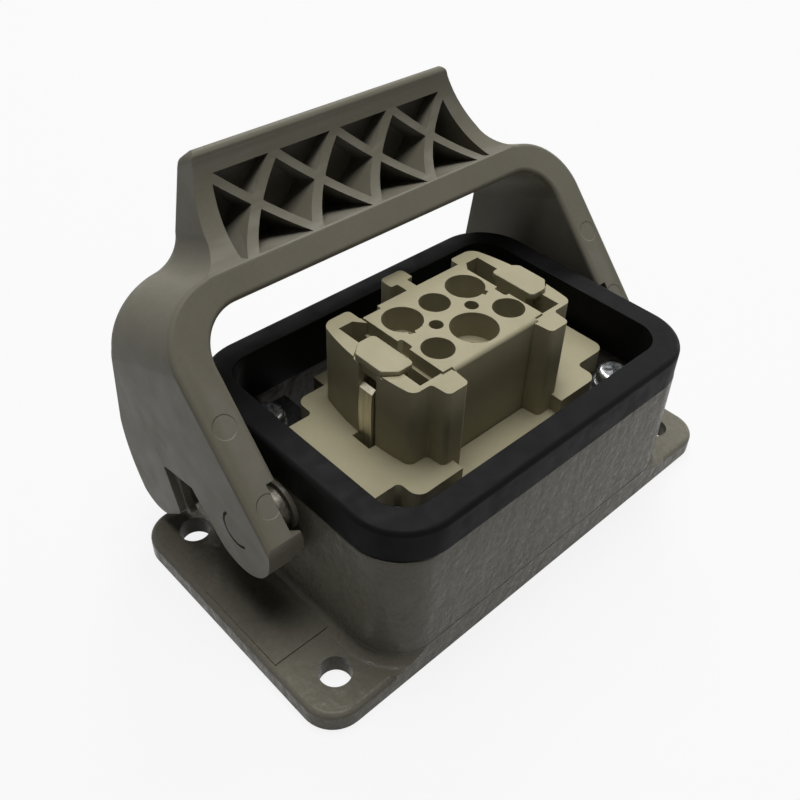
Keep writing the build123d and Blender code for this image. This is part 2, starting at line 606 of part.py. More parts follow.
def make_contact_carrier():
    """Moulded block with the contact cavities, pushed into the frame from behind."""
    outline = carrier_outline(0)
    head = KEY_HEAD_WIDTH / 2
    stem = KEY_STEM_WIDTH / 2
    outline = round_corners(outline, [(KEY_X - head, KEY_REACH), (KEY_X + head, KEY_REACH)], KEY_ROUND)
    lower = [(KEY_X + reach, KEY_HEAD_START) for reach in (-head, -stem, stem, head)]
    outline = round_corners(outline, lower, KEY_NECK_ROUND)
    body = Pos(0, 0, INSERT_SEAT) * extrude(outline, TOWER_TOP - INSERT_SEAT)
    front_edge = body.edges().filter_by(Axis.X).group_by(Axis.Z)[-1].sort_by(Axis.Y)[0]
    body = fillet(front_edge, CARRIER_EDGE_ROUND)
    body += carrier_ledges(0, INSERT_SEAT, LEDGE_TOP)
    body += plate(REAR_LENGTH, REAR_WIDTH, REAR_BOTTOM, INSERT_SEAT, RETAINER_CORNER)
    for side in (-1, 1):
        notch = RectangleRounded(2 * BLOCK_NOTCH_DEPTH, BLOCK_NOTCH_WIDTH, BLOCK_NOTCH_ROUND)
        notch = Pos(-CARRIER_HALF, BLOCK_NOTCH_Y, LEDGE_TOP) * extrude(notch, TOWER_TOP)
        body -= at_end(notch, side)
    for x, y, mouth in cavities():
        body -= rod(mouth, MOUTH_FLOOR, TOWER_TOP + 1, x, y)
        body -= rod(SOCKET_RADIUS + SOCKET_FIT, REAR_BOTTOM - 1, MOUTH_FLOOR + 0.1, x, y)
        body -= rod(COLLAR_RADIUS, REAR_BOTTOM - 1, REAR_BOTTOM + COLLAR_LENGTH, x, y)
        if mouth == MOUTH_RADII_BACK[0]:
            turn = MOUTH_NOTCH_TURN if x > CAVITY_CENTRE_X else -MOUTH_NOTCH_TURN
            notch = block(-MOUTH_NOTCH_WIDTH / 2, MOUTH_NOTCH_WIDTH / 2, -mouth - MOUTH_NOTCH_DEPTH, 0,
                          MOUTH_FLOOR, TOWER_TOP + 1)
            body -= Pos(x, y, 0) * Rot(0, 0, turn) * notch
    for x, y in signal_places():
        body -= rod(SIGNAL_RADIUS, REAR_BOTTOM - 1, TOWER_TOP + 1, x, y)
    return body


def make_socket(mouth_x, mouth_y):
    """Turned socket contact with a crimp barrel, seated from behind."""
    front = MOUTH_FLOOR - SOCKET_SETBACK
    contact = rod(SOCKET_RADIUS, REAR_BOTTOM, front, mouth_x, mouth_y)
    contact = fillet(contact.faces().sort_by(Axis.Z)[-1].edges(), 0.3)
    contact += rod(COLLAR_RADIUS, REAR_BOTTOM, REAR_BOTTOM + COLLAR_LENGTH, mouth_x, mouth_y)
    barrel_end = REAR_BOTTOM - CRIMP_LENGTH
    contact += rod(CRIMP_RADIUS, barrel_end, REAR_BOTTOM, mouth_x, mouth_y)
    contact -= rod(SOCKET_BORE, front - SOCKET_BORE_DEPTH, front + 1, mouth_x, mouth_y)
    contact -= rod(CRIMP_BORE, barrel_end - 1, barrel_end + CRIMP_DEPTH, mouth_x, mouth_y)
    return contact


def make_signal_contact(x, y):
    """Small socket contact of the same build."""
    front = TOWER_TOP - SIGNAL_SETBACK
    barrel_end = REAR_BOTTOM - CRIMP_LENGTH
    contact = rod(SIGNAL_PIN_RADIUS, barrel_end, front, x, y)
    contact += rod(SIGNAL_RADIUS, REAR_BOTTOM, REAR_BOTTOM + COLLAR_LENGTH, x, y)
    contact -= rod(SIGNAL_PIN_BORE, front - SOCKET_BORE_DEPTH, front + 1, x, y)
    contact -= rod(SIGNAL_PIN_BORE, barrel_end - 1, barrel_end + CRIMP_DEPTH, x, y)
    return contact


def make_retainer():
    """Plate behind the insert that stops the contacts from backing out."""
    low = REAR_BOTTOM - RETAINER_THICKNESS
    retainer = plate(RETAINER_LENGTH, RETAINER_WIDTH, low, REAR_BOTTOM, RETAINER_CORNER)
    for x, y, mouth in cavities():
        retainer -= rod(CRIMP_RADIUS + RETAINER_HOLE_GAP, low - 1, REAR_BOTTOM + 1, x, y)
    for x, y in signal_places():
        retainer -= rod(SIGNAL_PIN_RADIUS + RETAINER_HOLE_GAP, low - 1, REAR_BOTTOM + 1, x, y)
    return retainer


def make_earth_strip(side):
    """Springy contact strip on the end face, with a tail for the earth wire."""
    bend_z = STRIP_TOP - STRIP_BEND
    mid_z = (bend_z + PLATEAU_TOP) / 2
    upright = Line((-STRIP_X, STRIP_TAIL_Z), (-STRIP_X, PLATEAU_TOP))
    bow = ThreePointArc((-STRIP_X, PLATEAU_TOP), (-STRIP_X - STRIP_BOW, mid_z), (-STRIP_X, bend_z))
    hook = Line((-STRIP_X, bend_z), (-STRIP_X + STRIP_HOOK, STRIP_TOP))
    tail = Line((-STRIP_X - STRIP_TAIL_LENGTH, STRIP_TAIL_Z), (-STRIP_X, STRIP_TAIL_Z))
    strip = ribbon(tail + upright, STRIP_WIDTH) + ribbon(bow + hook, STRIP_WIDTH)
    strip += block(-STRIP_X - STRIP_TAIL_LENGTH, -STRIP_X - 1.5, -STRIP_TAIL_WIDTH / 2, STRIP_TAIL_WIDTH / 2,
                   INSERT_SEAT - STRIP_THICKNESS, INSERT_SEAT)
    strip -= rod(EARTH_SCREW_RADIUS, 0, INSERT_SEAT + 1, earth_x(), 0)
    return at_end(strip, side)


def ribbon(path, width):
    """Sheet-metal strip of even thickness along a line, stood up in the XZ plane."""
    face = trace(path, STRIP_THICKNESS)
    return Rot(90, 0, 0) * extrude(face, width / 2, both=True)


def earth_x():
    """Place of the earth screw at the -X end."""
    return -STRIP_X - STRIP_TAIL_LENGTH / 2 - 0.6


def make_earth_clip(side):
    """Moulded clip over the strip: top plate, and a leg down in the slot."""
    clip = clip_plate(0)
    leg_top = CLIP_TOP - CLIP_THICKNESS
    leg_x = -SLOT_OUTER_X + CLIP_GAP
    clip += block(leg_x, -CLIP_INNER_X, CLIP_Y - CLIP_LENGTH / 2 + 1, CLIP_Y + CLIP_LENGTH / 2 - 1,
                  SLOT_FLOOR, leg_top)
    return at_end(clip, side)


def make_insert_screws():
    """Cross-recessed screws that hold the insert on the posts."""
    head_high = SCREW_HEAD_LOW + SCREW_HEAD_HEIGHT
    screws = []
    for x, y in corners(SCREW_SPACING_X, SCREW_SPACING_Y):
        head = rod(SCREW_HEAD_RADIUS, SCREW_HEAD_LOW, head_high, x, y)
        head = fillet(head.faces().sort_by(Axis.Z)[-1].edges(), SCREW_HEAD_ROUND)
        screw = head + rod(SCREW_RADIUS, INSERT_SEAT - SCREW_DEPTH, SCREW_HEAD_LOW, x, y)
        screws.append(screw - cross_recess(x, y, head_high, SCREW_HEAD_RADIUS))
    return screws


def cross_recess(x, y, top, head_radius):
    """Cross-shaped driver recess that narrows downwards."""
    reach = head_radius * 1.2
    arm = head_radius * 0.22
    depth = head_radius * 0.4
    recess = None
    for angle in (45, 135):
        blade = Rot(0, 0, angle) * extrude(Rectangle(reach, arm), -depth, taper=12)
        recess = blade if recess is None else recess + blade
    return Pos(x, y, top) * recess


def make_insert_washers():
    """Spring washers under the insert screws."""
    washers = []
    for x, y in corners(SCREW_SPACING_X, SCREW_SPACING_Y):
        ring = rod(WASHER_RADIUS, EARTH_PLATE_TOP, SCREW_HEAD_LOW, x, y)
        ring -= rod(SCREW_RADIUS + SCREW_CLEAR, 0, TOWER_TOP, x, y)
        ring -= block(x, x + 2 * WASHER_RADIUS, y - WASHER_SPLIT / 2, y + WASHER_SPLIT / 2, 0, TOWER_TOP)
        washers.append(ring)
    return washers


def make_earth_screws():
    """Screws of the earth terminals, driven from below."""
    head_high = INSERT_SEAT - STRIP_THICKNESS - CLAMP_THICKNESS
    screws = []
    for side in (-1, 1):
        x = earth_x()
        screw = rod(EARTH_HEAD_RADIUS, head_high - EARTH_HEAD_HEIGHT, head_high, x, 0)
        screw += rod(EARTH_SCREW_RADIUS, head_high, EARTH_PLATE_TOP, x, 0)
        slot = Box(2 * EARTH_HEAD_RADIUS + 1, EARTH_SLOT_WIDTH, 2 * EARTH_SLOT_DEPTH)
        screw -= Pos(x, 0, head_high - EARTH_HEAD_HEIGHT) * slot
        screws.append(at_end(screw, side))
    return screws


def make_earth_clamps():
    """Square wire clamps between the earth screws and the strips."""
    high = INSERT_SEAT - STRIP_THICKNESS
    clamps = []
    for side in (-1, 1):
        clamp = Pos(earth_x(), 0, high - CLAMP_THICKNESS / 2) * Box(CLAMP_SIDE, CLAMP_SIDE, CLAMP_THICKNESS)
        clamp -= rod(EARTH_SCREW_RADIUS + SCREW_CLEAR, 0, TOWER_TOP, earth_x(), 0)
        clamps.append(at_end(clamp, side))
    return clamps


def make_pivot_pin(side):
    """Steel hinge pin: tail in the wall, collar, and journal in the lever."""
    tail_x = PIN_BOSS_REACH - PIN_TAIL
    collar_end = PIN_BOSS_REACH + PIN_COLLAR_LENGTH
    pin = rod(PIN_RADIUS, tail_x, PIN_REACH) + rod(PIN_COLLAR_RADIUS, PIN_BOSS_REACH, collar_end)
    rim = pin.edges().filter_by(GeomType.CIRCLE).filter_by(lambda e: e.radius > PIN_RADIUS + 0.1)
    pin = chamfer(rim, 0.2)
    pin = Pos(0, 0, PIVOT_HEIGHT) * Rot(0, 90, 0) * pin
    return pin if side > 0 else mirror(pin, about=Plane.YZ)


def lever_side_outline():
    """Side view of the lever: hinged leg, notch, back leg, back of the grip."""
    tip_front = -math.sqrt(TIP_RADIUS**2 - LEVER_FRONT**2)
    tip_back = -math.sqrt(TIP_RADIUS**2 - TIP_BACK**2)
    notch_foot = (7.3, 6.5)
    notch_apex = (12.7, 10.0)
    notch_left = (13.7, 9.5)
    back_leg_tip = (16.1, 4.0)
    back_leg_low = (17.4, 3.0)
    heel_low = (21.7, 3.2)
    heel = (25.8, 7.7)
    back_mid = (24.3, 12.7)
    back_turn = (20.6, 18.5)
    edge_turn = GRIP_TOP - 0.3
    top_back = (GRIP_BACK_HIGH_Y - 1.8, GRIP_TOP)
    top_front = (GRIP_BACK_HIGH_Y - 3.5, GRIP_TOP)
    front_high = (GRIP_BACK_HIGH_Y - 4.6, GRIP_TOP - GRIP_EDGE_DROP)
    front_mid = (LEVER_FRONT + GRIP_HOLLOW, (BAR_HIGH + GRIP_TOP - GRIP_EDGE_DROP) / 2)
    edges = [
        Line((LEVER_FRONT, BAR_HIGH), (LEVER_FRONT, tip_front)),
        ThreePointArc((LEVER_FRONT, tip_front), (0, -TIP_RADIUS), (TIP_BACK, tip_back)),
        Line((TIP_BACK, tip_back), notch_foot),
        Line(notch_foot, notch_apex),
        ThreePointArc(notch_apex, (13.4, 10.1), notch_left),
        Line(notch_left, back_leg_tip),
        ThreePointArc(back_leg_tip, (16.5, 3.3), back_leg_low),
        Line(back_leg_low, heel_low),
        ThreePointArc(heel_low, (24.6, 4.9), heel),
        ThreePointArc(heel, back_mid, back_turn),
        Line(back_turn, GRIP_BACK_LOW),
        Line(GRIP_BACK_LOW, GRIP_BACK_HIGH),
        ThreePointArc(GRIP_BACK_HIGH, (GRIP_BACK_HIGH_Y - 0.7, edge_turn), top_back),
        Line(top_back, top_front),
        ThreePointArc(top_front, (GRIP_BACK_HIGH_Y - 4.4, edge_turn), front_high),
        ThreePointArc(front_high, front_mid, (LEVER_FRONT, BAR_HIGH)),
    ]
    return make_face(Wire(edges))


def lever_front_outline():
    """Front view of the whole lever: arms, shoulders and waisted grip."""
    low = -TIP_RADIUS - BAR_HIGH
    shoulder_low = (LEVER_HALF_WIDTH, SHOULDER_START)
    shoulder_high = (LEVER_HALF_WIDTH - SHOULDER_REACH, BAR_HIGH)
    waist_high = (GRIP_LOW_HALF_WIDTH, BAR_HIGH + WAIST_RISE)
    corner_low = (GRIP_TOP_HALF_WIDTH, GRIP_TOP - GRIP_CORNER)
    corner_high = (GRIP_TOP_HALF_WIDTH - GRIP_CORNER, GRIP_TOP)
    half = [
        Line((0, low), (LEVER_HALF_WIDTH, low)),
        Line((LEVER_HALF_WIDTH, low), shoulder_low),
        TangentArc(shoulder_low, shoulder_high, tangent=(0, 1)),
        SagittaArc(shoulder_high, waist_high, WAIST_HOLLOW),
        Line(waist_high, corner_low),
        SagittaArc(corner_low, corner_high, -GRIP_CORNER * (1 - math.sqrt(0.5))),
        Line(corner_high, (0, GRIP_TOP)),
        Line((0, GRIP_TOP), (0, low)),
    ]
    right = make_face(Wire(half))
    return right + mirror(right, about=Plane.YZ)


def lever_opening_outline():
    """Front view of the space between the arms, under the cross bar."""
    high_corner = BAR_LOW - BAR_CORNER
    middle = BAR_CORNER * math.sqrt(0.5)
    centre_x = ARM_INNER - BAR_CORNER
    low = -TIP_RADIUS - BAR_HIGH
    half = [
        Line((0, low), (ARM_INNER, low)),
        Line((ARM_INNER, low), (ARM_INNER, high_corner)),
        ThreePointArc((ARM_INNER, high_corner), (centre_x + middle, high_corner + middle), (centre_x, BAR_LOW)),
        Line((centre_x, BAR_LOW), (0, BAR_LOW)),
        Line((0, BAR_LOW), (0, low)),
    ]
    right = make_face(Wire(half))
    return right + mirror(right, about=Plane.YZ)


def pocket_outline():
    """Front view of the grip's pockets: the hollow less the crossed ribs."""
    points = [(-POCKET_LOW_HALF_WIDTH, POCKET_LOW), (POCKET_LOW_HALF_WIDTH, POCKET_LOW),
              (POCKET_TOP_HALF_WIDTH, POCKET_HIGH), (-POCKET_TOP_HALF_WIDTH, POCKET_HIGH)]
    hollow = make_face(Polyline(*points, close=True))
    height = POCKET_HIGH - POCKET_LOW
    middle = (POCKET_HIGH + POCKET_LOW) / 2
    angle = math.degrees(math.atan2(height, TRUSS_PITCH))
    length = 1.3 * math.hypot(height, TRUSS_PITCH)
    for bay in range(TRUSS_BAYS):
        x = (bay - (TRUSS_BAYS - 1) / 2) * TRUSS_PITCH
        for turn in (angle, -angle):
            rib = Rot(0, 0, turn) * Rectangle(length, TRUSS_RIB)
            hollow -= Pos(x, middle) * rib
        hollow -= Pos(x, middle) * Rectangle(TRUSS_NODE, TRUSS_NODE)
    return hollow


def drawn(outline, length):
    """Extrude a front-view outline backwards along the mould's draw direction."""
    lead = 3.0
    slope = math.tan(math.radians(LEVER_DRAW_ANGLE))
    start = Plane(origin=(0, LEVER_FRONT - lead, -lead * slope), x_dir=(1, 0, 0), z_dir=(0, -1, 0))
    angle = math.radians(LEVER_DRAW_ANGLE)
    direction = (0, math.cos(angle), math.sin(angle))
    return extrude(start * outline, amount=length / math.cos(angle), dir=direction)


def pocket_depth_region():
    """Everything in front of the grip's back wall, seen from the side."""
    rise = GRIP_BACK_HIGH[1] - GRIP_BACK_LOW[1]
    slope = (GRIP_BACK_HIGH[0] - GRIP_BACK_LOW[0]) / rise
    wall_y = GRIP_WALL * math.hypot(1, slope)
    bottom_z = BAR_LOW
    top_z = GRIP_TOP + GRIP_LIP
    bottom = (GRIP_BACK_LOW[0] - wall_y + slope * (bottom_z - GRIP_BACK_LOW[1]), bottom_z)
    top = (GRIP_BACK_LOW[0] - wall_y + slope * (top_z - GRIP_BACK_LOW[1]), top_z)
    far = -GRIP_TOP
    outline = make_face(Polyline(bottom, top, (far, top_z), (far, bottom_z), close=True))
    return extrude(Plane.YZ * outline, ARM_INNER, both=True)


def make_lever():
    """Moulded locking lever, built upright about its pivot and then leaned back."""
    reach = GRIP_TOP
    lever = extrude(Plane.YZ * lever_side_outline(), LEVER_HALF_WIDTH + 1, both=True)
    lever = lever & drawn(lever_front_outline(), reach)
    lever -= drawn(lever_opening_outline(), reach)
    lever = fillet([edge for edge in lever.edges() if is_lever_round(edge)], LEVER_EDGE_ROUND)
    lever -= drawn(pocket_outline(), reach) & pocket_depth_region()
    for side in (-1, 1):
        lever -= arm_cuts(side)
    for side in (-1, 1):
        lever += cam_rib(side)
    lever = Rot(-LEVER_LEAN, 0, 0) * lever
    return Pos(0, 0, PIVOT_HEIGHT) * lever


def is_lever_round(edge):
    """True for an edge of each smooth line on the front face along which the lever is rounded."""
    box = edge.bounding_box()
    if box.max.Y > LEVER_FRONT + 0.1:
        return False
    outer_leg = box.size.X < 0.1 and max(box.max.X, -box.min.X) > LEVER_HALF_WIDTH - 0.1
    under_bar = box.size.Z < 0.1 and abs(box.size.X - 2 * (ARM_INNER - BAR_CORNER)) < 0.1
    return outer_leg or under_bar


def cam_rib(side):
    """Thin curved rib in the notch, on which the plug's locking peg rides."""
    inner = Spline((12.6, 9.4), (13.6, 6.9), (14.9, 4.9), (15.4, 2.8))
    tip = ThreePointArc((15.4, 2.8), (15.9, 2.4), (16.6, 3.2))
    edge = Polyline((16.6, 3.2), (18.0, 6.0), (14.8, 12.0), (12.2, 11.0), (12.6, 9.4))
    outer_x = LEVER_HALF_WIDTH - CAM_RIB_INSET
    rib = extrude(Plane.YZ * make_face(Wire([inner, tip] + edge.edges())), CAM_RIB_THICKNESS)
    rib = Pos(outer_x - CAM_RIB_THICKNESS, 0, 0) * rib
    return rib if side > 0 else mirror(rib, about=Plane.YZ)


def arm_cuts(side):
    """Recess round the pin's collar, blind pin bore, cap outline and the notch at the tip."""
    floor_x = ARM_INNER + RECESS_DEPTH
    recess = block(ARM_INNER - 1, floor_x, LEVER_FRONT - 1, 0, RECESS_LOW, RECESS_HIGH)
    collar_room = Cylinder(RECESS_ROUND, RECESS_DEPTH + 1, rotation=(0, 90, 0))
    recess += Pos(floor_x - (RECESS_DEPTH + 1) / 2, 0, 0) * collar_room
    bore_length = PIN_REACH + PIN_END_GAP - ARM_INNER
    bore = Cylinder(PIN_RADIUS + PIN_FIT, bore_length, rotation=(0, 90, 0))
    recess += Pos(ARM_INNER + bore_length / 2, 0, 0) * bore
    recess += block(floor_x - TIP_NOTCH, floor_x, -3 * TIP_NOTCH, -2 * TIP_NOTCH, -TIP_RADIUS,
                    -TIP_RADIUS + 1.5 * TIP_NOTCH)
    ring = Cylinder(CAP_RADIUS + CAP_GROOVE, CAP_GROOVE_DEPTH) - Cylinder(CAP_RADIUS, CAP_GROOVE_DEPTH)
    ring = Pos(LEVER_HALF_WIDTH - CAP_GROOVE_DEPTH / 2, 0, 0) * Rot(0, 90, 0) * ring
    far = 2 * CAP_RADIUS
    recess += ring & block(ARM_INNER, LEVER_HALF_WIDTH + 1, 0, far, -far, far)
    return recess if side > 0 else mirror(recess, about=Plane.YZ)


def save(shape, name):
    """Write one node."""
    solids = shape if isinstance(shape, list) else shape.solids()
    node = solids[0] if len(solids) == 1 else Compound(children=list(solids))
    export_step(node, os.path.join("parts", name + ".step"))


save(make_housing(), "housing")
save(make_rim_gasket(), "rim_gasket")
save(make_panel_seal(), "panel_seal")
save(make_lever(), "locking_lever")
save(make_insert_body(), "insert_body")
save(make_contact_carrier(), "contact_carrier")
save(make_retainer(), "contact_retainer")
for number, (cavity_x, cavity_y, mouth_radius) in enumerate(cavities(), 1):
    save(make_socket(cavity_x, cavity_y), "main_contact_" + str(number))
for number, (signal_x, signal_y) in enumerate(signal_places(), 1):
    save(make_signal_contact(signal_x, signal_y), "signal_contact_" + str(number))
for end_name, end_side in ENDS:
    save(make_pivot_pin(end_side), "pivot_pin_" + end_name)
    save(make_earth_strip(end_side), "earth_strip_" + end_name)
    save(make_earth_clip(end_side), "earth_clip_" + end_name)
    save(make_earth_plate(end_side), "earth_plate_" + end_name)
save(make_insert_screws(), "insert_screws")
save(make_insert_washers(), "insert_washers")
save(make_earth_screws(), "earth_screws")
save(make_earth_clamps(), "earth_clamps")
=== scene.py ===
import math

import bpy
from mathutils import Matrix, Vector

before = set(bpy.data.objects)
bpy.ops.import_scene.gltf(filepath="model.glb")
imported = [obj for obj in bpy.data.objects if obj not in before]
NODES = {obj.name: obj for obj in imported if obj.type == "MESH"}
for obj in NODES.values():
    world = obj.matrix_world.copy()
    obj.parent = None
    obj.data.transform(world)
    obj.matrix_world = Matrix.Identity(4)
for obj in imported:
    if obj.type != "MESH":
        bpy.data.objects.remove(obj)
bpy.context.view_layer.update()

MM = 0.001
WHITE = (1, 1, 1, 1)

# Camera at the photograph's viewing angle, in millimetres and degrees
CAMERA_TARGET = (-8.327, 0.120, 25.0)
CAMERA_DISTANCE = 127.784
CAMERA_AZIMUTH = -45.067
CAMERA_ELEVATION = 40.714
CAMERA_ROLL = 2.612
CAMERA_LENS = 41.659
CAMERA_SENSOR = 36.0
CAMERA_SHIFT = (-0.00731, -0.01006)
CAMERA_NEAR = 10

# Studio light: name, place in metres, side of the square lamp in metres, watts
WORLD_FILL = 0.05
LAMP_AIM = (0, 0, 0.02)
LAMPS = [
    ("top", (0.05, 0.05, 0.80), 0.45, 5.7),
    ("back_right", (0.38, 0.43, 0.62), 0.25, 2.0),
    ("right", (0.78, 0.05, 0.30), 0.45, 0.9),
]

# Floor: half its side and its drop in metres, and how white the camera and gloss see it
FLOOR_HALF = 3.0
FLOOR_DROP = 0.0002
FLOOR_WHITE = 0.86
FLOOR_ROUGHNESS = 0.9

# Hinge line of the lever and how far it leans back, in millimetres and degrees
HINGE_HEIGHT = 18.7
LEVER_LEAN = 42.08

# Round ejector marks on the front of the lever's legs, about its hinge line, in millimetres
EJECTOR_MARKS = [(-35.0, -6.15, 12.5), (-34.7, -6.15, 1.5), (35.0, -6.15, 12.5), (34.7, -6.15, 1.5)]
EJECTOR_RADIUS = 1.5
RING_EDGE = 0.15

# Edges sharper than this are rounded; triangles flatter than this are one face, in degrees
EDGE_ANGLE = 32
FLAT_ANGLE = 0.3
WELD_DISTANCE = 1e-6
EDGE_SEGMENTS = 2
NORMAL_WEIGHT = 100

# Width of the softened edges of each node, in millimetres
EDGE_WIDTHS = {"housing": 0.25, "locking_lever": 0.30, "insert_body": 0.14, "contact_carrier": 0.14,
               "earth_clip_left": 0.2, "earth_clip_right": 0.2, "rim_gasket": 0.2}

# Noise values between which a material goes from its first to its second tone
TONE_START = 0.3
TONE_END = 0.7
PEBBLE_SMOOTH = 0.6
WEAR_START = 0.53
WEAR_END = 0.60
METAL_ROUGHNESS_SPREAD = 0.08

# Two tones of each material and the tint of its fine grain
COAT = ((0.138, 0.129, 0.100), (0.168, 0.157, 0.123))
COAT_GRAIN = (0.078, 0.074, 0.062)
LEVER = ((0.140, 0.130, 0.099), (0.158, 0.147, 0.113))
LEVER_GRAIN = (0.096, 0.088, 0.069)
LEVER_WORN = (0.190, 0.178, 0.150)
RUBBER = ((0.0030, 0.0033, 0.0031), (0.0048, 0.0051, 0.0048))
BEIGE = ((0.312, 0.284, 0.186), (0.346, 0.315, 0.210))
BEIGE_GRAIN = (0.250, 0.222, 0.142)
FLOOR = ((0.60, 0.60, 0.60), (0.62, 0.62, 0.62))
ZINC = ((0.42, 0.43, 0.44), (0.62, 0.63, 0.64))
STEEL = ((0.13, 0.12, 0.10), (0.26, 0.24, 0.20))
# Earth plates: steel darkened to near black, the shade of the deep hollow under the insert painted
# into the metal
PLATE_PAINTED_SHADE = ((0.030, 0.030, 0.030), (0.060, 0.060, 0.058))
SILVER = ((0.62, 0.61, 0.58), (0.80, 0.79, 0.76))
SPRING = ((0.60, 0.55, 0.41), (0.78, 0.73, 0.58))
STRIP_BRUSH = (1, 1, 0.12)


def make_camera():
    """Camera placed by its azimuth, elevation and distance from a target."""
    azimuth = math.radians(CAMERA_AZIMUTH)
    elevation = math.radians(CAMERA_ELEVATION)
    roll = math.radians(CAMERA_ROLL)
    back = Vector((math.sin(azimuth) * math.cos(elevation),
                   -math.cos(azimuth) * math.cos(elevation),
                   math.sin(elevation)))
    target = Vector(CAMERA_TARGET) * MM
    place = target + back * CAMERA_DISTANCE * MM
    right = (-back).cross(Vector((0, 0, 1))).normalized()
    up = right.cross(-back)
    rolled_right = right * math.cos(roll) + up * math.sin(roll)
    rolled_up = up * math.cos(roll) - right * math.sin(roll)
    turn = Matrix((rolled_right, rolled_up, back)).transposed()
    data = bpy.data.cameras.new("photo_camera")
    data.lens = CAMERA_LENS
    data.sensor_width = CAMERA_SENSOR
    data.sensor_fit = "HORIZONTAL"
    data.shift_x, data.shift_y = CAMERA_SHIFT
    data.clip_start = CAMERA_NEAR * MM
    camera = bpy.data.objects.new("photo_camera", data)
    bpy.context.scene.collection.objects.link(camera)
    camera.matrix_world = Matrix.Translation(place) @ turn.to_4x4()
    bpy.context.scene.camera = camera


def area_light(name, place, side, power):
    """Soft square light at a place, pointed at the object."""
    data = bpy.data.lights.new(name, "AREA")
    data.shape = "RECTANGLE"
    data.size = side
    data.size_y = side
    data.energy = power
    lamp = bpy.data.objects.new(name, data)
    bpy.context.scene.collection.objects.link(lamp)
    lamp.location = place
    direction = Vector(LAMP_AIM) - Vector(place)
    lamp.rotation_euler = direction.to_track_quat("-Z", "Y").to_euler()


def background_rays(tree):
    """1 for rays from the camera, from gloss and through glass, else 0."""
    path = tree.nodes.new("ShaderNodeLightPath")
    total = None
    for ray in ("Is Camera Ray", "Is Glossy Ray", "Is Transmission Ray"):
        node = tree.nodes.new("ShaderNodeMath")
        node.operation = "MAXIMUM"
        tree.links.new(path.outputs[ray], node.inputs[0])
        node.inputs[1].default_value = 0.0
        if total is not None:
            tree.links.new(total, node.inputs[1])
        total = node.outputs["Value"]
    return total


def white_background(tree, strength):
    """White surroundings of a given strength."""
    node = tree.nodes.new("ShaderNodeBackground")
    node.inputs["Color"].default_value = WHITE
    node.inputs["Strength"].default_value = strength
    return node.outputs["Background"]


def make_world():
    """Even soft surroundings that the camera, gloss and glass see as white."""
    world = bpy.data.worlds.new("studio")
    bpy.context.scene.world = world
    world.use_nodes = True
    tree = world.node_tree
    tree.nodes.clear()
    mix = tree.nodes.new("ShaderNodeMixShader")
    out = tree.nodes.new("ShaderNodeOutputWorld")
    tree.links.new(background_rays(tree), mix.inputs["Fac"])
    tree.links.new(white_background(tree, WORLD_FILL), mix.inputs[1])
    tree.links.new(white_background(tree, 1.0), mix.inputs[2])
    tree.links.new(mix.outputs["Shader"], out.inputs["Surface"])


